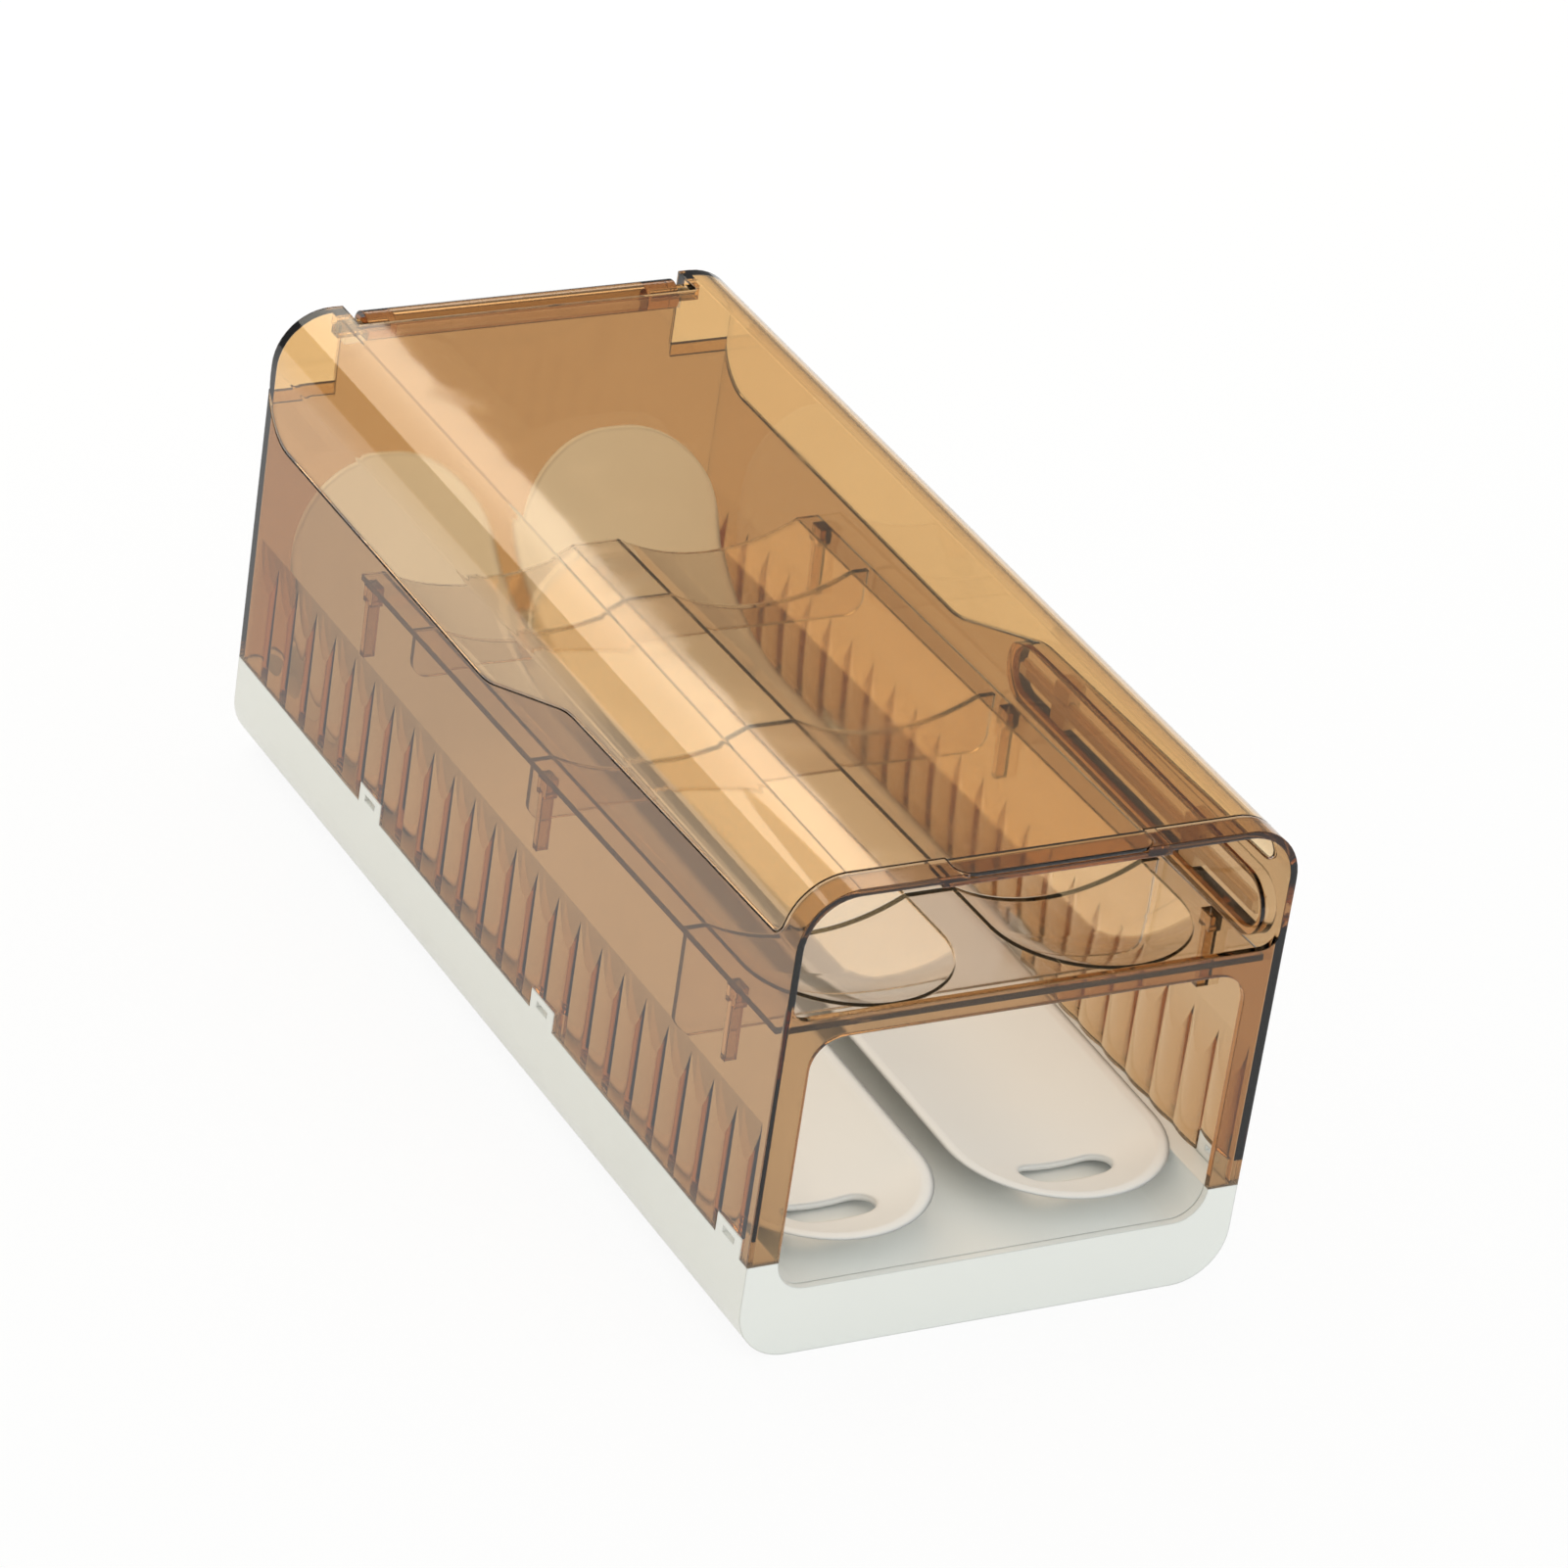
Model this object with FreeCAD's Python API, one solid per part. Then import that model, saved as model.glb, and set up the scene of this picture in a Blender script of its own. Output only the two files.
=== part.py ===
import FreeCAD, Part
import math
import os

os.makedirs("parts", exist_ok=True)

# Two-tier rolling holder. X runs across the two lanes, Y to the back, Z up from the table.
# All sizes are in millimetres.

# Overall
WIDTH = 160.0
LENGTH = 356.0
TOP_RADIUS = 18.0            # long top edges of housing and lid

# Heights of the front, stacked from the table up
BASE_HEIGHT = 32.0
PICK_HEIGHT = 73.5           # lower opening
BAND_HEIGHT = 6.9            # cross band over it
WINDOW_HEIGHT = 40.6         # open upper window

# Base tray and the liner that drops into it
BASE_RADIUS = 17.0           # long bottom edges
BASE_WALL = 2.4
SIDE_COLUMN = 10.0           # width of the base's sides and of the housing's front posts
CHANNEL_DEPTH = 10.0         # liner's floor below the base's top
CHANNEL_RADIUS = 10.0        # between the liner's floor and sides
LINER_WALL = 2.0
LINER_FIT = 0.3
KEEL_SPACING = 50.0          # keels that carry the liner's floor

# Housing, a clear arch-topped shell
WALL = 2.2
PICK_RADIUS = 10.0
SILL_RADIUS = 5.0
FLUTE_PITCH = 14.4           # upright flutes inside the side walls
FLUTE_DEPTH = 1.3
FLUTE_LAND = 0.25            # thickness left between two flutes
FLUTE_HEIGHT = 45.0
FLUTE_TAPER = 16.0           # height over which a flute runs out
STATION_SETBACK = 32.0       # first brackets, behind the front
STATION_BACK_GAP = 6.0       # last ones, before the deck's back edge
BRACKET_LENGTH = 6.0         # head that the deck lies on
BRACKET_HEAD = 5.0
BRACKET_LEG = 2.6            # upright rib below the head
BRACKET_HEIGHT = 23.0
CLIP_LENGTH = 15.0           # tabs on the tray's rim, in notches of the housing's lower edge
CLIP_HEIGHT = 6.5
CLIP_FIT = 0.3
CLIP_SETBACK = 12.5          # middle of the first tabs, behind the front
CLIP_BACK_GAP = 99.0         # middle of the last ones, before the back
CLIP_SLOT_LENGTH = 7.0       # slot through each tab
CLIP_SLOT_HEIGHT = 2.0

# Lid and its parting line on the side walls, with heights above the cross band
LID_GAP = 0.5
LID_SETBACK = 9.5            # front edge of the lid behind the housing's front
LID_FRONT_RISE = 22.6
LID_RAMP_RISE = 18.6         # where the line begins to drop
LID_BACK_RISE = 0.6
RAMP_SETBACK = 144.0         # start of the drop, behind the front
RAMP_LENGTH = 50.0
RAMP_RADIUS = 30.0
LID_FRONT_RADIUS = 5.0
LID_BACK_RADIUS = 18.0
TAB_WIDTH = 63.0             # finger tab at the lid's front edge
TAB_THICKNESS = 1.2
TAB_RADIUS = 5.0
TAB_GAP = 0.3
TAB_LEDGE = 2.0              # thickness of the ledge under the tab
TAB_LEDGE_MARGIN = 5.0       # ledge beyond each side of the tab

# Hinge
HINGE_NOTCH = 13.0           # depth of the notch in the lid's back edge
BARREL_RADIUS = 5.5
BARREL_BOSS = 10.0           # solid length at each end of the barrel
HINGE_SIDE_GAP = 0.3
EAR_SIZE = 4.8               # square section of the lid's ears
EAR_WIDTH = 4.0              # web that carries an ear, beside the notch
EAR_REACH = 4.2              # ear beyond its web, into the notch
STRIP_HEIGHT = 2.6           # white strip below the barrel
STRIP_DEPTH = 2.6
PIN_RADIUS = 1.5
PIN_FIT = 0.05
PIN_DEPTH = 8.0              # length of pin inside the barrel
PIN_GRIP = 7.0               # length of pin pressed into an ear
PIN_END_GAP = 0.4

# Lanes of both tiers
LANE_SIDE_GAP = 3.8          # chute's rim to the housing's side wall
LANE_MIDDLE_GAP = 8.0        # between the rims of the two chutes
LANE_DEPTH = 8.0

# Lower tier, two white chutes
CHUTE_WALL = 2.0
CHUTE_FIT = 0.3
CHUTE_TIP_GAP = 4.0          # front rim behind the housing's front
CHUTE_FLOOR_GAP = 1.0        # lowest point of the lane above the channel's floor
CHUTE_SLOPE = 1.0            # degrees, falling to the front
CHUTE_BACK_GAP = 2.2         # chute to the housing's back wall
CHUTE_HEIGHT = 79.5          # scoop's top above the channel's floor
CHUTE_ARCH_FLAT = 8.0        # level width at the top of the scoop's arch
CHUTE_RIB = 2.0
CHUTE_RIB_SPACING = 34.0
SLOT_LENGTH = 30.0
SLOT_WIDTH = 12.0
SLOT_SETBACK = 24.0          # slot's centre behind the chute's front rim

# Upper tier, a clear deck
DECK_WALL = 2.0
DECK_FIT = 0.3
DECK_FRONT_GAP = 4.0         # behind the housing's front wall
DROP_LENGTH = 74.0           # open shaft between the deck and the back
DECK_DROP = 4.9              # flange below the top of the cross band, at the front
DECK_SLOPE = 1.25            # degrees, falling to the back
PLATE_WALL = 2.0
PLATE_RADIUS = 6.0
FRONT_PLATE_SETBACK = 64.0   # cross plates behind the front
MIDDLE_PLATE_SETBACK = 164.0
BACK_PLATE_GAP = 36.0        # last plate before the deck's back edge
FRONT_PLATE_DROP = 37.1      # plates' lower edges below the flange
MIDDLE_PLATE_DROP = 21.4
BACK_PLATE_DROP = 17.1

# Date marker in the right side wall
POCKET_DEPTH = 5.0
POCKET_HEIGHT = 16.0
POCKET_SETBACK = 6.0         # behind the front
POCKET_TUCK = 9.0            # how far the pocket runs below the lid's ramp
POCKET_TOP_GAP = 2.0         # pocket below the start of the ramp
RAIL_HEIGHT = 5.4
RAIL_HEAD = 1.2
RAIL_STEM = 1.4
RAIL_STEM_HEIGHT = 3.0
RAIL_END_GAP = 4.0
SLIDER_FIT = 0.3
SLIDER_LENGTH = 8.0
SLIDER_LIP = 3.6             # above and below the rail's head
SLIDER_COVER = 1.9
REAR_SLIDER_SETBACK = 125.0
FRONT_SLIDER_SETBACK = 47.0

# Places worked out from the sizes above
FRONT = -LENGTH / 2
BACK = LENGTH / 2
SIDE = WIDTH / 2
INNER_SIDE = SIDE - WALL
INNER_BACK = BACK - WALL
FLOOR_TOP = BASE_HEIGHT - CHANNEL_DEPTH
PICK_TOP = BASE_HEIGHT + PICK_HEIGHT
SILL_TOP = PICK_TOP + BAND_HEIGHT
HEIGHT = SILL_TOP + WINDOW_HEIGHT
FLUTE_TOP = BASE_HEIGHT + FLUTE_HEIGHT
LID_FRONT_EDGE = SILL_TOP + LID_FRONT_RISE
LID_RAMP_TOP = SILL_TOP + LID_RAMP_RISE
LID_BACK_EDGE = SILL_TOP + LID_BACK_RISE
RAMP_START = FRONT + RAMP_SETBACK
HINGE_HALF = SIDE - TOP_RADIUS - EAR_WIDTH
HINGE_Y = BACK - BARREL_RADIUS
HINGE_Z = HEIGHT - BARREL_RADIUS
EAR_END = HINGE_HALF - EAR_REACH
BARREL_HALF = EAR_END - HINGE_SIDE_GAP
PIN_END = EAR_END + PIN_GRIP
EAR_SWEEP = EAR_SIZE / math.sqrt(2)
STRIP_TOP = HINGE_Z - EAR_SWEEP - HINGE_SIDE_GAP
CHUTE_REACH = (INNER_SIDE - LANE_SIDE_GAP - LANE_MIDDLE_GAP / 2) / 2
CHUTE_ARCH_RADIUS = CHUTE_REACH - CHUTE_ARCH_FLAT / 2
CHUTE_DEPTH = LANE_DEPTH + CHUTE_WALL
CHUTE_RIM = FLOOR_TOP + CHUTE_FLOOR_GAP + CHUTE_DEPTH
CHUTE_TOP = FLOOR_TOP + CHUTE_HEIGHT
LANE_OFFSET = LANE_MIDDLE_GAP / 2 + CHUTE_REACH
LANE_RADIUS = (CHUTE_REACH ** 2 + CHUTE_DEPTH ** 2) / (2 * CHUTE_DEPTH) - CHUTE_WALL
LANE_CENTRE = LANE_RADIUS - LANE_DEPTH   # of the lane's round section, above its rim
DECK_TOP = SILL_TOP - DECK_DROP
DECK_BACK = BACK - DROP_LENGTH
FIRST_STATION = FRONT + STATION_SETBACK
LAST_STATION = DECK_BACK - STATION_BACK_GAP
STATIONS = [FIRST_STATION, (FIRST_STATION + LAST_STATION) / 2, LAST_STATION]
FIRST_CLIP = FRONT + CLIP_SETBACK
LAST_CLIP = BACK - CLIP_BACK_GAP
CLIPS = [FIRST_CLIP, (FIRST_CLIP + LAST_CLIP) / 2, LAST_CLIP]
POCKET_FLOOR = SIDE - POCKET_DEPTH
POCKET_FRONT = FRONT + POCKET_SETBACK
POCKET_BACK = RAMP_START + POCKET_TUCK
POCKET_MIDDLE = LID_RAMP_TOP - POCKET_TOP_GAP - POCKET_HEIGHT / 2
OVER = HEIGHT + LENGTH       # beyond every piece
TINY = 1e-6                  # shorter than every edge
ORIGIN = FreeCAD.Vector(0, 0, 0)
ACROSS = FreeCAD.Vector(1, 0, 0)
ALONG = FreeCAD.Vector(0, 1, 0)
UP = FreeCAD.Vector(0, 0, 1)


def box(x0, x1, y0, y1, z0, z1):
    """Block between two corners."""
    return Part.makeBox(x1 - x0, y1 - y0, z1 - z0, FreeCAD.Vector(x0, y0, z0))


def rounded_face(corners, place):
    """Face through corners (u, v, radius), each corner rounded by a tangent arc."""
    arcs = []
    for k, (u, v, radius) in enumerate(corners):
        corner = FreeCAD.Vector(u, v, 0)
        before = FreeCAD.Vector(*corners[k - 1][:2], 0) - corner
        after = FreeCAD.Vector(*corners[(k + 1) % len(corners)][:2], 0) - corner
        half = before.getAngle(after) / 2
        before.normalize()
        after.normalize()
        reach = radius / math.tan(half)
        middle = (before + after).normalize() * (radius / math.sin(half) - radius)
        arcs.append([place(corner + before * reach), place(corner + middle), place(corner + after * reach)])
    edges = []
    for k, (start, middle, end) in enumerate(arcs):
        last = arcs[k - 1][2]
        if last.distanceToPoint(start) > TINY:
            edges.append(Part.LineSegment(last, start).toShape())
        if start.distanceToPoint(end) > TINY:
            edges.append(Part.Arc(start, middle, end).toShape())
    return Part.Face(Part.Wire(Part.__sortEdges__(edges)))


def prism_x(corners, x0, x1):
    """Outline in (y, z, radius), drawn out along X."""
    return rounded_face(corners, lambda p: FreeCAD.Vector(x0, p.x, p.y)).extrude(ACROSS * (x1 - x0))


def prism_y(corners, y0, y1):
    """Outline in (x, z, radius), drawn out along Y."""
    return rounded_face(corners, lambda p: FreeCAD.Vector(p.x, y0, p.y)).extrude(ALONG * (y1 - y0))


def prism_z(corners, z0, z1):
    """Outline in (x, y, radius), drawn out along Z."""
    return rounded_face(corners, lambda p: FreeCAD.Vector(p.x, p.y, z0)).extrude(UP * (z1 - z0))


def rod_x(radius, x0, x1, y, z):
    """Round rod along X."""
    return Part.makeCylinder(radius, x1 - x0, FreeCAD.Vector(x0, y, z), ACROSS)


def moved(shape, x, y, z):
    """Copy of a shape, shifted."""
    copy = shape.copy()
    copy.translate(FreeCAD.Vector(x, y, z))
    return copy


def turned(shape, centre, degrees):
    """Copy of a shape, turned about an axis along X."""
    copy = shape.copy()
    copy.rotate(centre, ACROSS, degrees)
    return copy


def mirrored(shape):
    """Copy of a shape on the other side of the middle plane."""
    return shape.mirror(ORIGIN, ACROSS)


def both_sides(shape):
    """A shape and its mirror image."""
    return [shape, mirrored(shape)]


def base_bar(inset, y0, y1, top):
    """Bar of the base's section, with round bottom edges, inset from the outside."""
    half = SIDE - inset
    radius = BASE_RADIUS - inset
    return prism_y([(-half, inset, radius), (half, inset, radius), (half, top, 0), (-half, top, 0)], y0, y1)


def channel(grow, y0, y1):
    """The open channel along the base, grown outwards by a wall."""
    half = SIDE - SIDE_COLUMN + grow
    low = FLOOR_TOP - grow
    radius = CHANNEL_RADIUS + grow
    return prism_y([(-half, low, radius), (half, low, radius), (half, OVER, 0), (-half, OVER, 0)], y0, y1)


def base_tray():
    """Outer tray: thin walls, the front wall cut down to the channel, and slotted clip tabs on the rim."""
    hollow = base_bar(BASE_WALL, FRONT + BASE_WALL, BACK - BASE_WALL, OVER)
    tray = base_bar(0, FRONT, BACK, BASE_HEIGHT).cut(hollow)
    tray = tray.cut(channel(0, FRONT - BASE_WALL, FRONT + 2 * BASE_WALL))
    root = SIDE - BASE_WALL
    slot_low = BASE_HEIGHT + (CLIP_HEIGHT - CLIP_SLOT_HEIGHT) / 2
    tab = clip_block(root, CLIP_LENGTH / 2, BASE_HEIGHT - BASE_WALL, BASE_HEIGHT + CLIP_HEIGHT)
    slot = clip_block(root, CLIP_SLOT_LENGTH / 2, slot_low, slot_low + CLIP_SLOT_HEIGHT)
    return tray.fuse(at_clips(tab.cut(slot))).removeSplitter()


def clip_block(inner, half, low, high):
    """Block in the right wall, from an inner face out to the outside, before it is put at a clip."""
    return box(inner, SIDE, -half, half, low, high)


def at_clips(shape):
    """Copies of a shape at every clip, on both sides."""
    return [moved(piece, 0, y, 0) for y in CLIPS for piece in both_sides(shape)]


def base_liner():
    """Sheet with the channel pressed into it, on keels that stand on the tray's floor."""
    inset = BASE_WALL + LINER_FIT
    front = FRONT + inset
    back = BACK - inset
    half = SIDE - inset
    flange = box(-half, half, front, back, BASE_HEIGHT - LINER_WALL, BASE_HEIGHT)
    skin = channel(LINER_WALL, front, back).common(box(-half, half, front, back, 0, BASE_HEIGHT))
    keels = []
    for k in (-1, 0, 1):
        middle = k * KEEL_SPACING
        keels.append(box(middle - LINER_WALL / 2, middle + LINER_WALL / 2, front, back,
                         BASE_WALL, FLOOR_TOP - LINER_WALL / 2))
    liner = flange.fuse([skin] + keels).cut(channel(0, FRONT, back - LINER_WALL))
    return liner.removeSplitter()


def lane_section(grow):
    """Round-bottomed section of a lane below its rim, grown by a wall."""
    radius = LANE_RADIUS + grow
    half = lane_reach(grow)
    left = FreeCAD.Vector(-half, 0, 0)
    right = FreeCAD.Vector(half, 0, 0)
    arc = Part.Arc(left, FreeCAD.Vector(0, 0, LANE_CENTRE - radius), right).toShape()
    return Part.Face(Part.Wire([arc, Part.LineSegment(right, left).toShape()]))


def lane_reach(wall):
    """Half the width of a lane over its rim."""
    return math.sqrt((LANE_RADIUS + wall) ** 2 - LANE_CENTRE ** 2)


def lane_depth(x):
    """Depth of a lane below its rim, at a distance from its centre line."""
    return math.sqrt(LANE_RADIUS ** 2 - x ** 2) - LANE_CENTRE


def lane(grow, run):
    """Lane from the origin along Y, with a dished round end before the origin."""
    ball = Part.makeSphere(LANE_RADIUS + grow, FreeCAD.Vector(0, 0, LANE_CENTRE), ACROSS)
    dish = ball.common(box(-OVER, OVER, -OVER, 0, -OVER, 0))
    return dish.fuse(lane_section(grow).extrude(ALONG * run))


def scoop(grow, run):
    """The lane's section turned up about its own centre at the end of its run, then drawn straight up."""
    axis = FreeCAD.Vector(0, run, LANE_CENTRE)
    turn = 90 - CHUTE_SLOPE
    start = moved(lane_section(grow), 0, run, 0)
    end = turned(start, axis, turn)
    upward = FreeCAD.Vector(0, math.cos(math.radians(turn)), math.sin(math.radians(turn)))
    return [start.revolve(axis, ACROSS, turn), end.extrude(upward * CHUTE_HEIGHT)]


def chute(side):
    """Spoon-ended lane that turns up at the back into an arch-topped scoop, on two ribs."""
    front_y = FRONT + CHUTE_TIP_GAP + CHUTE_REACH
    bend_y = INNER_BACK - CHUTE_BACK_GAP - CHUTE_DEPTH - LANE_CENTRE
    run = bend_y - front_y
    ribs = [moved(chute_rib(run), k * CHUTE_RIB_SPACING / 2, 0, 0) for k in (-1, 1)]
    body = lane(CHUTE_WALL, run).fuse(scoop(CHUTE_WALL, run) + ribs)
    body = body.cut([lane(0, run)] + scoop(0, run))
    body = body.cut(pill(SLOT_LENGTH, SLOT_WIDTH, SLOT_SETBACK - CHUTE_REACH))
    body = moved(turned(body, ORIGIN, CHUTE_SLOPE), 0, front_y, CHUTE_RIM)
    below = box(-OVER, OVER, -OVER, OVER, -OVER, FLOOR_TOP)
    edge = SIDE - SIDE_COLUMN - CHUTE_FIT - LANE_OFFSET
    seat = box(edge, OVER, -OVER, OVER, -OVER, BASE_HEIGHT)
    body = body.cut([below, seat if side > 0 else mirrored(seat)]).common(arch_gate())
    return moved(body.removeSplitter(), side * LANE_OFFSET, 0, 0)


def chute_rib(run):
    """Upright rib under a lane, from the spoon to the bend."""
    top = -lane_depth(CHUTE_RIB_SPACING / 2) - CHUTE_WALL / 2
    return box(-CHUTE_RIB / 2, CHUTE_RIB / 2, 0, run, -BASE_HEIGHT, top)


def pill(length, width, y):
    """Upright bar of round-ended section, across a lane."""
    half = length / 2
    end = width / 2
    return prism_z([(-half, y - end, end), (half, y - end, end), (half, y + end, end),
                    (-half, y + end, end)], -OVER, OVER)


def arch_gate():
    """All the space under an arch as wide as a chute, which trims the scoop's top."""
    half = CHUTE_REACH
    return prism_y([(-half, -OVER, 0), (half, -OVER, 0), (half, CHUTE_TOP, CHUTE_ARCH_RADIUS),
                    (-half, CHUTE_TOP, CHUTE_ARCH_RADIUS)], -OVER, OVER)


def arch_bar(inset, y0, y1):
    """Bar of the housing's section, with round top edges, inset from the outside."""
    half = SIDE - inset
    top = HEIGHT - inset
    low = BASE_HEIGHT - inset
    radius = TOP_RADIUS - inset
    return prism_y([(-half, low, 0), (half, low, 0), (half, top, radius), (-half, top, radius)], y0, y1)


def clear_shell():
    """Arch-topped shell with a back wall, before it is parted into housing and lid."""
    return arch_bar(0, FRONT, BACK).cut(arch_bar(WALL, FRONT - WALL, INNER_BACK))


def lid_space(gap):
    """All the space above the parting line, grown downwards and forwards by a gap."""
    front = FRONT + LID_SETBACK - gap
    return prism_x([(front, OVER, 0),
                    (front, LID_FRONT_EDGE - gap, LID_FRONT_RADIUS + gap),
                    (RAMP_START, LID_RAMP_TOP - gap, RAMP_RADIUS),
                    (RAMP_START + RAMP_LENGTH, LID_BACK_EDGE - gap, RAMP_RADIUS),
                    (BACK + gap, LID_BACK_EDGE - gap, LID_BACK_RADIUS + gap),
                    (BACK + gap, OVER, 0)], -OVER, OVER)


def tab_space(gap, low):
    """Plan of the lid's finger tab, grown by a gap."""
    half = TAB_WIDTH / 2 + gap
    front = FRONT - gap
    back = FRONT + LID_SETBACK
    return prism_z([(-half, front, TAB_RADIUS), (half, front, TAB_RADIUS), (half, back, 0),
                    (-half, back, 0)], low, HEIGHT)


def lid():
    """Clear cover with side skirts, a finger tab in front and two ears at the hinge."""
    cover = clear_shell().common(lid_space(0))
    cover = cover.fuse(tab_space(0, HEIGHT - TAB_THICKNESS))
    cover = cover.cut(box(-HINGE_HALF, HINGE_HALF, BACK - HINGE_NOTCH, OVER, 0, OVER))
    end = HINGE_HALF + EAR_WIDTH
    half = EAR_SIZE / 2
    ear = box(EAR_END, end, HINGE_Y - half, HINGE_Y + half, HINGE_Z - half, HINGE_Z + half)
    web = box(HINGE_HALF, end, HINGE_Y, BACK - WALL / 2, HINGE_Z, HEIGHT - WALL / 2)
    hole = rod_x(PIN_RADIUS, 0, PIN_END, HINGE_Y, HINGE_Z)
    return cover.fuse(both_sides(ear.fuse(web))).cut(both_sides(hole)).removeSplitter()


def hinge_pin(side):
    """Short pin, pressed into an ear of the lid and turning in the barrel."""
    pin = rod_x(PIN_RADIUS, BARREL_HALF - PIN_DEPTH, PIN_END, HINGE_Y, HINGE_Z)
    return pin if side > 0 else mirrored(pin)


def hinge_barrel():
    """Round bar along the top of the back wall, hollow from below between two bosses for the pins."""
    half = BARREL_HALF
    bay = half - BARREL_BOSS
    inner = BARREL_RADIUS - WALL
    bar = rod_x(BARREL_RADIUS, -half, half, HINGE_Y, HINGE_Z)
    hollow = rod_x(inner, -bay, bay, HINGE_Y, HINGE_Z)
    slot = box(-bay, bay, HINGE_Y - inner, HINGE_Y + inner, HINGE_Z - BARREL_RADIUS, HINGE_Z)
    below = box(-half, half, HINGE_Y - BARREL_RADIUS, BACK, HINGE_Z - BARREL_RADIUS, STRIP_TOP)
    bore = rod_x(PIN_RADIUS + PIN_FIT, half - PIN_DEPTH - PIN_END_GAP, half, HINGE_Y, HINGE_Z)
    edge = HINGE_HALF - HINGE_SIDE_GAP
    wall = box(-edge, edge, INNER_BACK, BACK, LID_BACK_EDGE - LID_GAP - WALL, STRIP_TOP)
    riser = box(-half, half, INNER_BACK, BACK, STRIP_TOP - WALL, HINGE_Z)
    return bar.cut([hollow, slot, below]).fuse([wall, riser]).cut(both_sides(bore))


def hinge_strip():
    """White strip along the inside of the back wall, below the barrel."""
    half = HINGE_HALF - HINGE_SIDE_GAP
    return box(-half, half, INNER_BACK - STRIP_DEPTH, INNER_BACK, STRIP_TOP - STRIP_HEIGHT, STRIP_TOP)


def front_frame():
    """Posts and cross band of the front, around the lower opening and below the upper window."""
    half = SIDE - WALL / 2
    pick = SIDE - SIDE_COLUMN
    frame = box(-half, half, FRONT, FRONT + WALL, BASE_HEIGHT, SILL_TOP + SILL_RADIUS)
    opening = prism_y([(-pick, 0, 0), (pick, 0, 0), (pick, PICK_TOP, PICK_RADIUS),
                       (-pick, PICK_TOP, PICK_RADIUS)], -OVER, 0)
    window = prism_y([(-INNER_SIDE, SILL_TOP, SILL_RADIUS), (INNER_SIDE, SILL_TOP, SILL_RADIUS),
                      (INNER_SIDE, OVER, 0), (-INNER_SIDE, OVER, 0)], -OVER, 0)
    return frame.cut([opening, window])


def flute_band():
    """Upright flutes on the inside of the right wall: a scalloped sheet that thins out at the top."""
    count = int((LENGTH - 2 * WALL) // FLUTE_PITCH)
    first = -count * FLUTE_PITCH / 2
    land = INNER_SIDE - FLUTE_LAND
    crest = INNER_SIDE - FLUTE_DEPTH
    root = INNER_SIDE + WALL / 2
    edges = []
    for k in range(count):
        start = first + k * FLUTE_PITCH
        points = [FreeCAD.Vector(land, start, BASE_HEIGHT),
                  FreeCAD.Vector(crest, start + FLUTE_PITCH / 2, BASE_HEIGHT),
                  FreeCAD.Vector(land, start + FLUTE_PITCH, BASE_HEIGHT)]
        edges.append(Part.Arc(*points).toShape())
    corners = [FreeCAD.Vector(land, -first, BASE_HEIGHT), FreeCAD.Vector(root, -first, BASE_HEIGHT),
               FreeCAD.Vector(root, first, BASE_HEIGHT), FreeCAD.Vector(land, first, BASE_HEIGHT)]
    for a, b in zip(corners, corners[1:]):
        edges.append(Part.LineSegment(a, b).toShape())
    sheet = Part.Face(Part.Wire(edges)).extrude(UP * FLUTE_HEIGHT)
    taper = prism_y([(root, BASE_HEIGHT, 0), (crest - WALL, BASE_HEIGHT, 0),
                     (crest - WALL, FLUTE_TOP - FLUTE_TAPER, 0), (crest, FLUTE_TOP - FLUTE_TAPER, 0),
                     (INNER_SIDE, FLUTE_TOP, 0), (root, FLUTE_TOP, 0)], FRONT, BACK)
    return sheet.common(taper)


def deck_place(shape):
    """Puts a shape from the deck's own level frame, with its flange at zero, into the housing."""
    return moved(turned(shape, ORIGIN, -DECK_SLOPE), 0, FRONT, DECK_TOP)


def deck_run(y):
    """Distance along the sloping deck from the front plane to a place along Y."""
    return (y - FRONT) / math.cos(math.radians(DECK_SLOPE))


def deck_height(y):
    """Height of the deck's flange at a place along Y."""
    return DECK_TOP - (y - FRONT) * math.tan(math.radians(DECK_SLOPE))


def brackets():
    """Heads on upright ribs inside the side walls, which the deck's flanges lie on."""
    edge = LANE_OFFSET + lane_reach(DECK_WALL)
    root = INNER_SIDE + WALL / 2
    low = -DECK_WALL - BRACKET_HEIGHT
    pieces = []
    for y in STATIONS:
        middle = deck_run(y)
        head = box(edge, root, middle - BRACKET_LENGTH / 2, middle + BRACKET_LENGTH / 2,
                   -DECK_WALL - BRACKET_HEAD, -DECK_WALL)
        leg = box(edge, root, middle - BRACKET_LEG / 2, middle + BRACKET_LEG / 2, low, -DECK_WALL)
        pieces += both_sides(deck_place(head.fuse(leg)))
    return pieces


def pocket(grow, x0, x1):
    """Round-ended recess in the right wall, grown by a wall."""
    half = POCKET_HEIGHT / 2 + grow
    front = POCKET_FRONT - grow
    back = POCKET_BACK + grow
    return prism_x([(front, POCKET_MIDDLE - half, half), (back, POCKET_MIDDLE - half, half),
                    (back, POCKET_MIDDLE + half, half), (front, POCKET_MIDDLE + half, half)], x0, x1)


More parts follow.
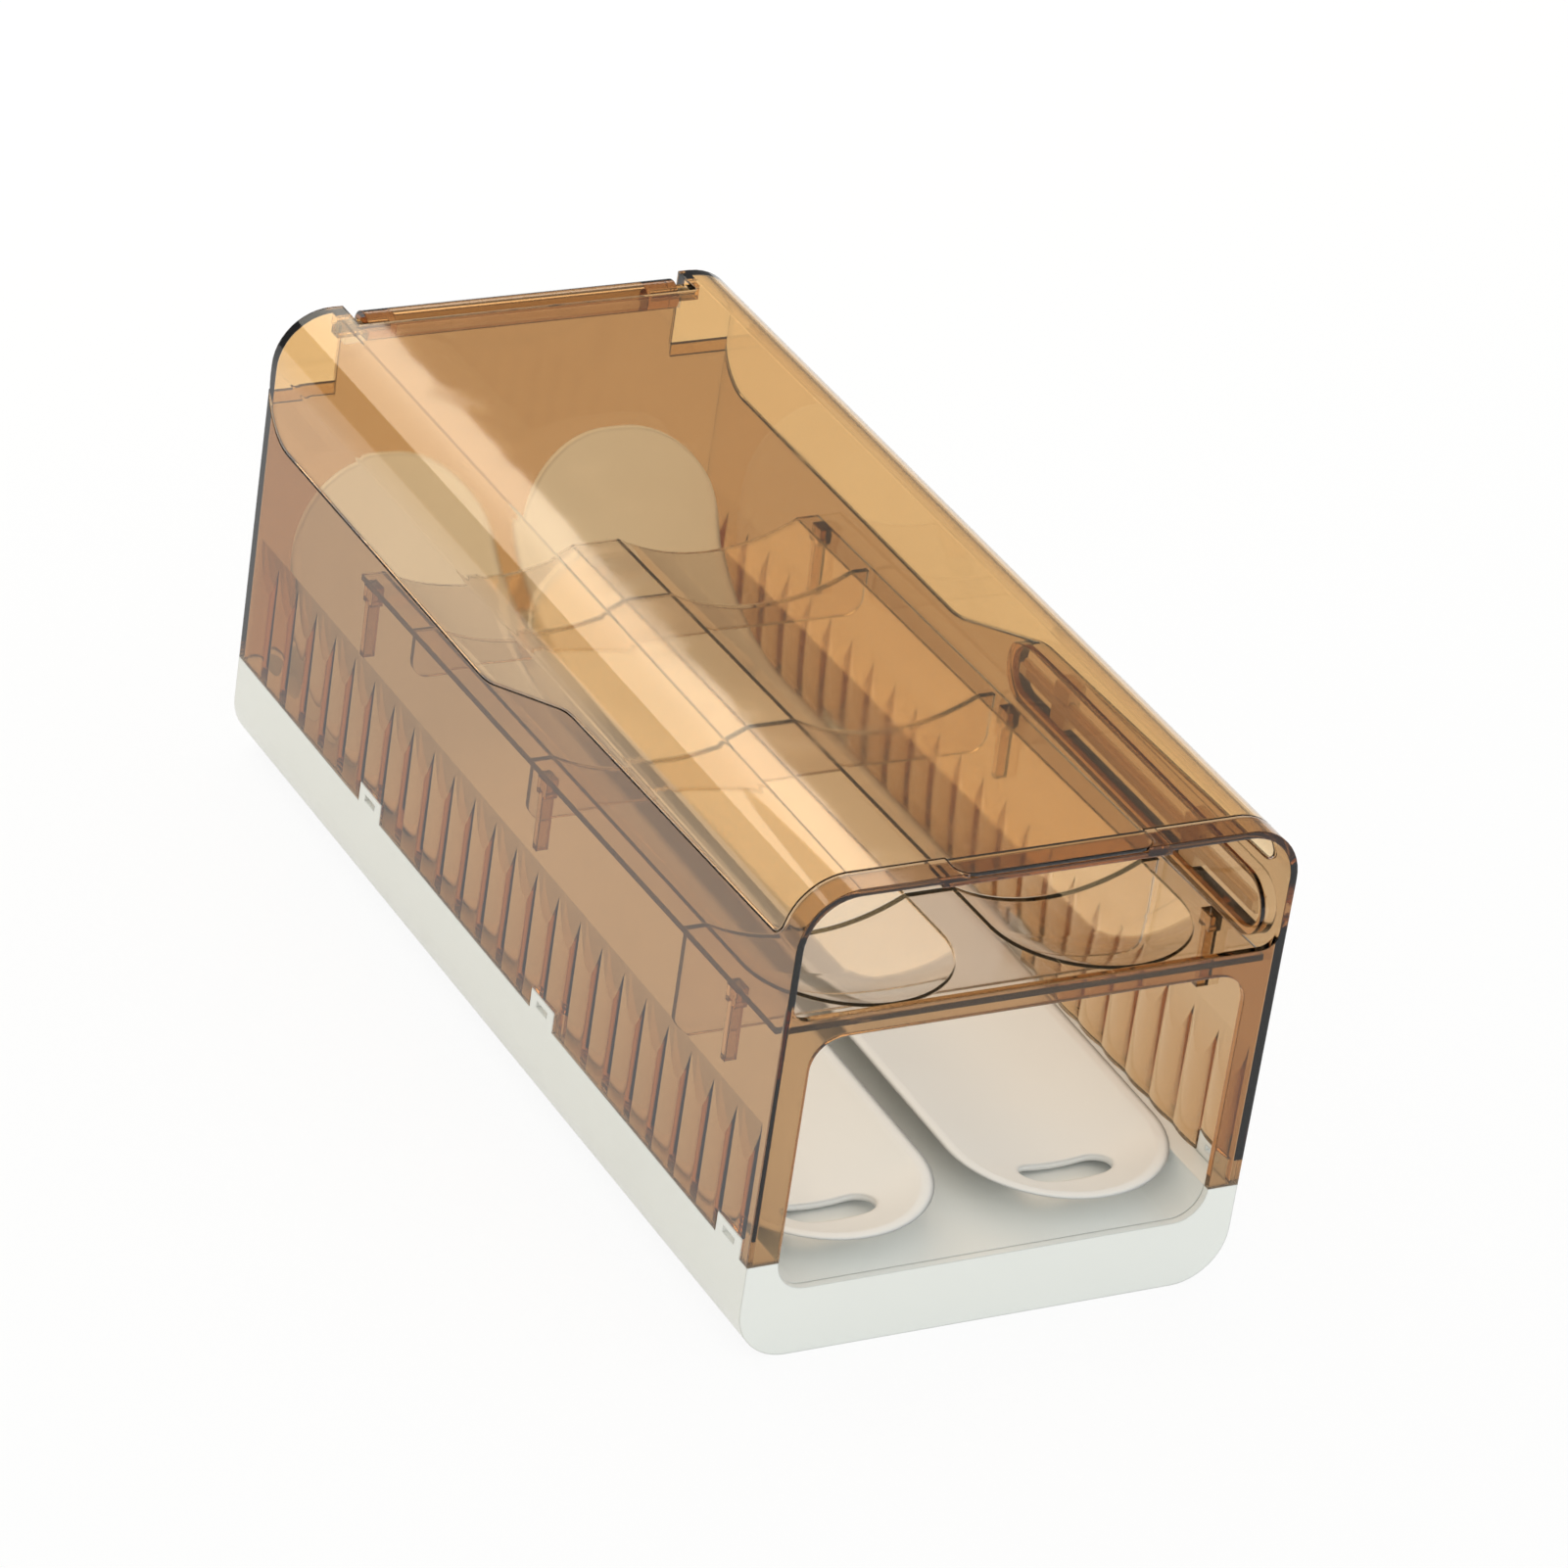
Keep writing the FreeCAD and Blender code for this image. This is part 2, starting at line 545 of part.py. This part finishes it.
def housing():
    """Clear body: walls, front frame, flutes, deck brackets, clip notches, date pocket and hinge barrel."""
    shell = clear_shell().fuse(both_sides(flute_band()))
    shell = shell.fuse(pocket(WALL, POCKET_FLOOR - WALL, SIDE - WALL / 2))
    shell = shell.cut(pocket(0, POCKET_FLOOR, SIDE + WALL))
    body = shell.cut(lid_space(LID_GAP))
    half = TAB_WIDTH / 2 + TAB_LEDGE_MARGIN
    ledge_top = HEIGHT - TAB_THICKNESS - TAB_GAP
    ledge = box(-half, half, FRONT, FRONT + LID_SETBACK - LID_GAP, ledge_top - TAB_LEDGE, HEIGHT - WALL / 2)
    body = body.fuse([front_frame(), ledge, hinge_barrel()] + brackets())
    notch = clip_block(INNER_SIDE - FLUTE_DEPTH - CLIP_FIT, CLIP_LENGTH / 2 + CLIP_FIT, 0,
                       BASE_HEIGHT + CLIP_HEIGHT + CLIP_FIT)
    return body.cut(at_clips(notch) + [tab_space(TAB_GAP, ledge_top)]).removeSplitter()


def upper_deck():
    """Clear tray with two dished lanes, flanges at the sides and three cross plates below."""
    front = WALL + DECK_FRONT_GAP
    back = deck_run(DECK_BACK)
    half = INNER_SIDE - DECK_FIT
    flange = box(-half, half, front, back, -DECK_WALL, 0)
    start = front + lane_reach(DECK_WALL)
    outer = moved(lane(DECK_WALL, back - start), LANE_OFFSET, start, 0)
    inner = moved(lane(0, back - start), LANE_OFFSET, start, 0)
    tray = deck_place(flange.fuse(both_sides(outer)))
    plates = [cross_plate(FRONT + FRONT_PLATE_SETBACK, FRONT_PLATE_DROP),
              cross_plate(FRONT + MIDDLE_PLATE_SETBACK, MIDDLE_PLATE_DROP),
              cross_plate(DECK_BACK - BACK_PLATE_GAP, BACK_PLATE_DROP)]
    hollow = deck_place(inner)
    return tray.fuse(plates).cut(both_sides(hollow)).removeSplitter()


def cross_plate(y, drop):
    """Upright plate across the deck's underside, clear of the flutes, with round lower corners."""
    half = INNER_SIDE - FLUTE_DEPTH - DECK_FIT
    low = deck_height(y) - drop
    top = deck_height(y) - DECK_WALL / 2
    return prism_y([(-half, low, PLATE_RADIUS), (half, low, PLATE_RADIUS), (half, top, 0),
                    (-half, top, 0)], y - PLATE_WALL / 2, y + PLATE_WALL / 2)


def date_rail():
    """White rail of T section on the floor of the date pocket."""
    front = POCKET_FRONT + RAIL_END_GAP
    back = POCKET_BACK - RAIL_END_GAP
    neck = POCKET_FLOOR + RAIL_STEM
    stem = box(POCKET_FLOOR, neck, front, back,
               POCKET_MIDDLE - RAIL_STEM_HEIGHT / 2, POCKET_MIDDLE + RAIL_STEM_HEIGHT / 2)
    head = box(neck, neck + RAIL_HEAD, front, back,
               POCKET_MIDDLE - RAIL_HEIGHT / 2, POCKET_MIDDLE + RAIL_HEIGHT / 2)
    return stem.fuse(head).removeSplitter()


def date_slider(y):
    """Small white marker that grips the rail's head and slides along it."""
    neck = POCKET_FLOOR + RAIL_STEM
    face = neck + RAIL_HEAD
    half = RAIL_HEIGHT / 2 + SLIDER_LIP
    block = box(POCKET_FLOOR + SLIDER_FIT, face + SLIDER_FIT + SLIDER_COVER,
                y - SLIDER_LENGTH / 2, y + SLIDER_LENGTH / 2, POCKET_MIDDLE - half, POCKET_MIDDLE + half)
    head_half = RAIL_HEIGHT / 2 + SLIDER_FIT
    stem_half = RAIL_STEM_HEIGHT / 2 + SLIDER_FIT
    head_slot = box(neck - SLIDER_FIT, face + SLIDER_FIT, -OVER, OVER,
                    POCKET_MIDDLE - head_half, POCKET_MIDDLE + head_half)
    stem_slot = box(POCKET_FLOOR, face, -OVER, OVER, POCKET_MIDDLE - stem_half, POCKET_MIDDLE + stem_half)
    return block.cut([head_slot, stem_slot])


PIECES = {
    "base_tray": base_tray(),
    "base_liner": base_liner(),
    "left_chute": chute(-1),
    "right_chute": chute(1),
    "housing": housing(),
    "upper_deck": upper_deck(),
    "lid": lid(),
    "hinge_pin_left": hinge_pin(-1),
    "hinge_pin_right": hinge_pin(1),
    "hinge_strip": hinge_strip(),
    "date_rail": date_rail(),
    "date_slider_rear": date_slider(FRONT + REAR_SLIDER_SETBACK),
    "date_slider_front": date_slider(FRONT + FRONT_SLIDER_SETBACK),
}
for name, shape in PIECES.items():
    solids = len(shape.Solids)
    print(f"{name}: {solids} solid, valid {shape.isValid()}, {shape.Volume / 1000:.1f} cm3")
    shape.exportStep(f"parts/{name}.step")
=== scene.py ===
import bpy
import numpy as np
from mathutils import Matrix

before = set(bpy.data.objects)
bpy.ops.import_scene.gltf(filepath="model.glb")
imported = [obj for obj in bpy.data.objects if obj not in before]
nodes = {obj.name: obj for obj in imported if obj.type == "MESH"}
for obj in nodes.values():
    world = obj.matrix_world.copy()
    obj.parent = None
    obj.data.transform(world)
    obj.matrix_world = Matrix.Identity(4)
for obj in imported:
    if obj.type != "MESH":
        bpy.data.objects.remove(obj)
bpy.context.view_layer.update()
scene = bpy.context.scene
scene.view_settings.view_transform = "Standard"


# Base: outer tray and the liner in it.
# Two white mouldings of opaque polypropylene with a fine satin skin. The liner drops into the tray and
# stands on its own keels, with no screws.

def place(tree, kind, **values):
    """Adds one shader node and sets sockets (by their names, _ for a space) or plain settings on it."""
    made = tree.nodes.new(kind)
    for name, value in values.items():
        socket = made.inputs.get(name.replace("_", " "))
        if socket is not None:
            socket.default_value = value
        else:
            setattr(made, name, value)
    return made


def new_group(name, inputs, outputs):
    """Empty shader node group with named sockets, given as (name, kind, default)."""
    group = bpy.data.node_groups.new(name, "ShaderNodeTree")
    for socket, kind, default in inputs:
        made = group.interface.new_socket(socket, in_out="INPUT", socket_type="NodeSocket" + kind)
        made.default_value = default
    for socket, kind in outputs:
        group.interface.new_socket(socket, in_out="OUTPUT", socket_type="NodeSocket" + kind)
    return group, group.nodes.new("NodeGroupInput"), group.nodes.new("NodeGroupOutput")


def new_material(name, on):
    """Node material with a Principled shader, put on every slot of the named CAD nodes. Returns its tree,
    shader and output."""
    material = bpy.data.materials.new(name)
    material.use_nodes = True
    tree = material.node_tree
    tree.nodes.clear()
    shader = place(tree, "ShaderNodeBsdfPrincipled")
    output = place(tree, "ShaderNodeOutputMaterial")
    tree.links.new(shader.outputs["BSDF"], output.inputs["Surface"])
    for node in on:
        for slot in nodes[node].material_slots:
            slot.material = material
    return tree, shader, output


def moulded_skin():
    """Group for opaque moulded plastic: cloudy tone between two colours, satin roughness, fine grain height."""
    group, given, out = new_group(
        "moulded_skin",
        [("Tone", "Color", (0.8, 0.8, 0.8, 1)), ("Cloud", "Color", (0.75, 0.75, 0.75, 1)),
         ("Cloud Scale", "Float", 14.0), ("Gloss", "Float", 0.3), ("Satin", "Float", 0.45)],
        [("Colour", "Color"), ("Roughness", "Float"), ("Height", "Float")])
    where = place(group, "ShaderNodeTexCoord")
    cloud = place(group, "ShaderNodeTexNoise", Detail=3.0, Roughness=0.6)
    grain = place(group, "ShaderNodeTexNoise", Scale=2600.0, Detail=2.0)
    rub = place(group, "ShaderNodeTexNoise", Scale=55.0, Detail=5.0, Roughness=0.7)
    tone = place(group, "ShaderNodeMix", data_type="RGBA")
    satin = place(group, "ShaderNodeMapRange", From_Min=0.3, From_Max=0.7)
    links = group.links
    for noise in (cloud, grain, rub):
        links.new(where.outputs["Object"], noise.inputs["Vector"])
    links.new(given.outputs["Cloud Scale"], cloud.inputs["Scale"])
    links.new(cloud.outputs["Fac"], tone.inputs["Factor"])
    links.new(given.outputs["Tone"], tone.inputs["A"])
    links.new(given.outputs["Cloud"], tone.inputs["B"])
    links.new(rub.outputs["Fac"], satin.inputs["Value"])
    links.new(given.outputs["Gloss"], satin.inputs["To Min"])
    links.new(given.outputs["Satin"], satin.inputs["To Max"])
    links.new(tone.outputs["Result"], out.inputs["Colour"])
    links.new(satin.outputs["Result"], out.inputs["Roughness"])
    links.new(grain.outputs["Fac"], out.inputs["Height"])
    return group


def white_plastic(name, on, tone, cloud, edge):
    """Opaque white plastic with the moulded skin, and edges that look rounded by a radius in metres."""
    tree, shader, _ = new_material(name, on)
    skin = place(tree, "ShaderNodeGroup", node_tree=moulded)
    skin.inputs["Tone"].default_value = tone
    skin.inputs["Cloud"].default_value = cloud
    soft_edge = place(tree, "ShaderNodeBevel", samples=6, Radius=edge)
    bump = place(tree, "ShaderNodeBump", Strength=0.12, Distance=0.0001)
    tree.links.new(skin.outputs["Colour"], shader.inputs["Base Color"])
    tree.links.new(skin.outputs["Roughness"], shader.inputs["Roughness"])
    tree.links.new(skin.outputs["Height"], bump.inputs["Height"])
    tree.links.new(soft_edge.outputs["Normal"], bump.inputs["Normal"])
    tree.links.new(bump.outputs["Normal"], shader.inputs["Normal"])


moulded = moulded_skin()
base_edge = 0.0008
white_plastic("base_satin_white", ["base_tray", "base_liner"],
              (0.83, 0.845, 0.825, 1), (0.80, 0.815, 0.80, 1), base_edge)


# Chutes: the two lower lanes.
# White mouldings, a little whiter than the base, with rims that look well rounded. Each stands on ribs in the
# liner's channel and lifts out.

chute_edge = 0.002
white_plastic("chute_gloss_white", ["left_chute", "right_chute"],
              (0.90, 0.91, 0.91, 1), (0.875, 0.885, 0.89, 1), chute_edge)


# Housing: the clear body.
# One amber-tinted moulding of clear styrene with polished walls, upright flutes and thick dark-looking edges.
# It stands on the base, over the tray's clip tabs.

def polished_skin():
    """Group for clear moulded plastic: slight tone clouds, finger smudges in the gloss, flow waves as height."""
    group, given, out = new_group(
        "polished_skin",
        [("Clear", "Color", (1, 1, 1, 1)), ("Haze", "Color", (0.95, 0.95, 0.95, 1)),
         ("Polish", "Float", 0.02), ("Smudge", "Float", 0.08)],
        [("Colour", "Color"), ("Roughness", "Float"), ("Height", "Float")])
    where = place(group, "ShaderNodeTexCoord")
    flow = place(group, "ShaderNodeTexNoise", Scale=34.0, Detail=1.0)
    touch = place(group, "ShaderNodeTexNoise", Scale=26.0, Detail=4.0, Roughness=0.65)
    tone = place(group, "ShaderNodeMix", data_type="RGBA")
    smear = place(group, "ShaderNodeMapRange", From_Min=0.52, From_Max=0.78)
    links = group.links
    for noise in (flow, touch):
        links.new(where.outputs["Object"], noise.inputs["Vector"])
    links.new(flow.outputs["Fac"], tone.inputs["Factor"])
    links.new(given.outputs["Clear"], tone.inputs["A"])
    links.new(given.outputs["Haze"], tone.inputs["B"])
    links.new(touch.outputs["Fac"], smear.inputs["Value"])
    links.new(given.outputs["Polish"], smear.inputs["To Min"])
    links.new(given.outputs["Smudge"], smear.inputs["To Max"])
    links.new(tone.outputs["Result"], out.inputs["Colour"])
    links.new(smear.outputs["Result"], out.inputs["Roughness"])
    links.new(flow.outputs["Fac"], out.inputs["Height"])
    return group


def clear_plastic(name, on, clear, haze, tint, density):
    """Clear tinted plastic: refracting skin, a tint that deepens with the thickness looked through, and light
    that passes straight on to what stands behind it. Density is absorption per metre."""
    tree, shader, output = new_material(name, on)
    skin = place(tree, "ShaderNodeGroup", node_tree=polished)
    skin.inputs["Clear"].default_value = clear
    skin.inputs["Haze"].default_value = haze
    soft_edge = place(tree, "ShaderNodeBevel", samples=6, Radius=0.0007)
    bump = place(tree, "ShaderNodeBump", Strength=0.03, Distance=0.0004)
    shader.inputs["Transmission Weight"].default_value = 1.0
    shader.inputs["IOR"].default_value = styrene_ior
    body = place(tree, "ShaderNodeVolumeAbsorption", Color=tint, Density=density)
    tree.links.new(skin.outputs["Colour"], shader.inputs["Base Color"])
    tree.links.new(skin.outputs["Roughness"], shader.inputs["Roughness"])
    tree.links.new(skin.outputs["Height"], bump.inputs["Height"])
    tree.links.new(soft_edge.outputs["Normal"], bump.inputs["Normal"])
    tree.links.new(bump.outputs["Normal"], shader.inputs["Normal"])
    tree.links.new(body.outputs["Volume"], output.inputs["Volume"])
    path = place(tree, "ShaderNodeLightPath")
    light_rays = place(tree, "ShaderNodeMath", operation="MAXIMUM")
    straight = place(tree, "ShaderNodeBsdfTransparent", Color=(0.98, 0.985, 1.0, 1))
    chosen = place(tree, "ShaderNodeMixShader")
    tree.links.new(path.outputs["Is Shadow Ray"], light_rays.inputs[0])
    tree.links.new(path.outputs["Is Diffuse Ray"], light_rays.inputs[1])
    tree.links.new(light_rays.outputs[0], chosen.inputs["Fac"])
    tree.links.new(shader.outputs["BSDF"], chosen.inputs[1])
    tree.links.new(straight.outputs["BSDF"], chosen.inputs[2])
    tree.links.new(chosen.outputs["Shader"], output.inputs["Surface"])


polished = polished_skin()
styrene_ior = 1.5
clear_plastic("housing_amber_clear", ["housing"], (0.64, 0.46, 0.27, 1), (0.61, 0.435, 0.25, 1),
              (0.80, 0.54, 0.22, 1), 170.0)


# Upper deck: the clear tray of the upper tier.
# A lighter tinted clear moulding with two dished lanes. It lies loose on the housing's brackets.

clear_plastic("deck_clear", ["upper_deck"], (0.94, 0.90, 0.87, 1), (0.915, 0.875, 0.845, 1),
              (0.75, 0.60, 0.42, 1), 60.0)


# Lid: the clear cover.
# A paler golden amber than the housing, polished, with a finger tab. It hangs on two pins at the back.

clear_plastic("lid_amber_clear", ["lid"], (0.985, 0.84, 0.60, 1), (0.96, 0.81, 0.57, 1),
              (0.86, 0.60, 0.24, 1), 140.0)


# Hinge pins.
# Two short drawn steel pins, pressed into the lid's ears.

tree, shader, _ = new_material("pin_drawn_steel", ["hinge_pin_left", "hinge_pin_right"])
where = place(tree, "ShaderNodeTexCoord")
stretch = place(tree, "ShaderNodeMapping", Scale=(40.0, 3000.0, 3000.0))
draw_lines = place(tree, "ShaderNodeTexNoise", Scale=1.0, Detail=3.0)
steel_tone = place(tree, "ShaderNodeMix", data_type="RGBA",
                   A=(0.58, 0.58, 0.59, 1), B=(0.68, 0.68, 0.69, 1))
steel_rub = place(tree, "ShaderNodeMapRange", To_Min=0.22, To_Max=0.4)
shader.inputs["Metallic"].default_value = 1.0
tree.links.new(where.outputs["Object"], stretch.inputs["Vector"])
tree.links.new(stretch.outputs["Vector"], draw_lines.inputs["Vector"])
tree.links.new(draw_lines.outputs["Fac"], steel_tone.inputs["Factor"])
tree.links.new(draw_lines.outputs["Fac"], steel_rub.inputs["Value"])
tree.links.new(steel_tone.outputs["Result"], shader.inputs["Base Color"])
tree.links.new(steel_rub.outputs["Result"], shader.inputs["Roughness"])


# White trim: strip below the hinge, and the date marker's rail and two sliders.
# Small white mouldings. The rail lies in the pocket of the right wall and the sliders grip its head.

trim_edge = 0.0004
white_plastic("marker_white", ["hinge_strip", "date_rail", "date_slider_rear", "date_slider_front"],
              (0.92, 0.925, 0.93, 1), (0.89, 0.895, 0.90, 1), trim_edge)


# Floor.
# A wide flat white sheet. Seen directly, mirrored or through the clear walls it is nearly plain white, and it
# takes a faint shadow from the object.

def seen_rays(tree):
    """1 for camera, glossy and transmitted rays, 0 for the rays that only carry light to matt surfaces."""
    path = place(tree, "ShaderNodeLightPath")
    first = place(tree, "ShaderNodeMath", operation="MAXIMUM")
    both = place(tree, "ShaderNodeMath", operation="MAXIMUM")
    tree.links.new(path.outputs["Is Camera Ray"], first.inputs[0])
    tree.links.new(path.outputs["Is Glossy Ray"], first.inputs[1])
    tree.links.new(first.outputs[0], both.inputs[0])
    tree.links.new(path.outputs["Is Transmission Ray"], both.inputs[1])
    return both.outputs[0]


def sheet_mesh(name, grid):
    """Mesh of quads over a grid of points."""
    rows, columns = grid.shape[:2]
    k = np.arange(rows * columns).reshape(rows, columns)
    faces = np.stack([k[:-1, :-1], k[:-1, 1:], k[1:, 1:], k[1:, :-1]], axis=-1).reshape(-1, 4)
    mesh = bpy.data.meshes.new(name)
    mesh.from_pydata(grid.reshape(-1, 3).tolist(), [], faces.tolist())
    made = bpy.data.objects.new(name, mesh)
    scene.collection.objects.link(made)
    return made


reach = 9.0
corners = np.meshgrid([-reach, reach], [-reach, reach], [0.0])
floor = sheet_mesh("floor", np.stack(corners, axis=-1).reshape(2, 2, 3))
floor_paint = bpy.data.materials.new("floor_white")
floor_paint.use_nodes = True
tree = floor_paint.node_tree
tree.nodes.clear()
matt = place(tree, "ShaderNodeBsdfDiffuse", Color=(0.9, 0.9, 0.9, 1))
lit = place(tree, "ShaderNodeEmission", Color=(1, 1, 1, 1), Strength=1.0)
share = place(tree, "ShaderNodeMath", operation="MULTIPLY")
glow_share = 0.9
share.inputs[1].default_value = glow_share
mixed = place(tree, "ShaderNodeMixShader")
output = place(tree, "ShaderNodeOutputMaterial")
tree.links.new(seen_rays(tree), share.inputs[0])
tree.links.new(share.outputs[0], mixed.inputs["Fac"])
tree.links.new(matt.outputs["BSDF"], mixed.inputs[1])
tree.links.new(lit.outputs["Emission"], mixed.inputs[2])
tree.links.new(mixed.outputs["Shader"], output.inputs["Surface"])
floor.data.materials.append(floor_paint)


# Light.
# A pale room, a little warmer on the left and dimmer where it is mirrored, one large level soft box above and
# behind the object, and a cool fill in front of it.

world = bpy.data.worlds.new("pale_room")
world.use_nodes = True
scene.world = world
tree = world.node_tree
tree.nodes.clear()
where = place(tree, "ShaderNodeTexCoord")
axes = place(tree, "ShaderNodeSeparateXYZ")
left_share = place(tree, "ShaderNodeMapRange", From_Min=0.2, From_Max=-0.9)
room_tone = place(tree, "ShaderNodeMix", data_type="RGBA",
                  A=(0.97, 1.0, 0.99, 1), B=(1.0, 0.965, 0.85, 1))
room = place(tree, "ShaderNodeBackground", Strength=0.9)
tree.links.new(where.outputs["Generated"], axes.inputs["Vector"])
tree.links.new(axes.outputs["X"], left_share.inputs["Value"])
tree.links.new(left_share.outputs["Result"], room_tone.inputs["Factor"])
tree.links.new(room_tone.outputs["Result"], room.inputs["Color"])
dim = place(tree, "ShaderNodeBackground", Color=(1, 1, 1, 1), Strength=0.28)
path = place(tree, "ShaderNodeLightPath")
mixed = place(tree, "ShaderNodeMixShader")
output = place(tree, "ShaderNodeOutputWorld")
tree.links.new(path.outputs["Is Glossy Ray"], mixed.inputs["Fac"])
tree.links.new(room.outputs["Background"], mixed.inputs[1])
tree.links.new(dim.outputs["Background"], mixed.inputs[2])
tree.links.new(mixed.outputs["Shader"], output.inputs["Surface"])


def soft_box(name, centre, aim, width, height, colour, watts):
    """Rectangular area light at a centre, facing a point."""
    lamp = bpy.data.lights.new(name, "AREA")
    lamp.shape = "RECTANGLE"
    lamp.size = width
    lamp.size_y = height
    lamp.color = colour
    lamp.energy = watts
    made = bpy.data.objects.new(name, lamp)
    scene.collection.objects.link(made)
    back = np.array(centre, float) - np.array(aim, float)
    back /= np.linalg.norm(back)
    right = np.cross([0.0, 0.0, 1.0], back)
    right /= np.linalg.norm(right)
    up = np.cross(back, right)
    made.matrix_world = Matrix([[right[k], up[k], back[k], centre[k]] for k in range(3)] + [[0, 0, 0, 1]])
    made.visible_camera = False


soft_box("top_box", (0.09, 1.5, 1.15), (0.09, 1.499, 0.0), 1.58, 1.0, (1.0, 0.94, 0.82), 11.5)
soft_box("front_box", (0.3, -2.2, 0.7), (0.0, -0.1, 0.06), 1.6, 1.2, (0.92, 1.0, 1.0), 5.0)


# Camera.
# The view that the photograph was taken from, worked out from the object's straight edges.

lens = bpy.data.cameras.new("camera")
lens.sensor_width = 36.0
lens.lens = 172.65
lens.clip_end = 60.0
camera = bpy.data.objects.new("camera", lens)
scene.collection.objects.link(camera)
camera.matrix_world = Matrix([[0.88238, 0.12277, -0.45424, -1.00656],
                              [-0.45155, 0.49239, -0.74408, -1.67601],
                              [0.13231, 0.86167, 0.48991, 1.17691],
                              [0, 0, 0, 1]])
scene.camera = camera
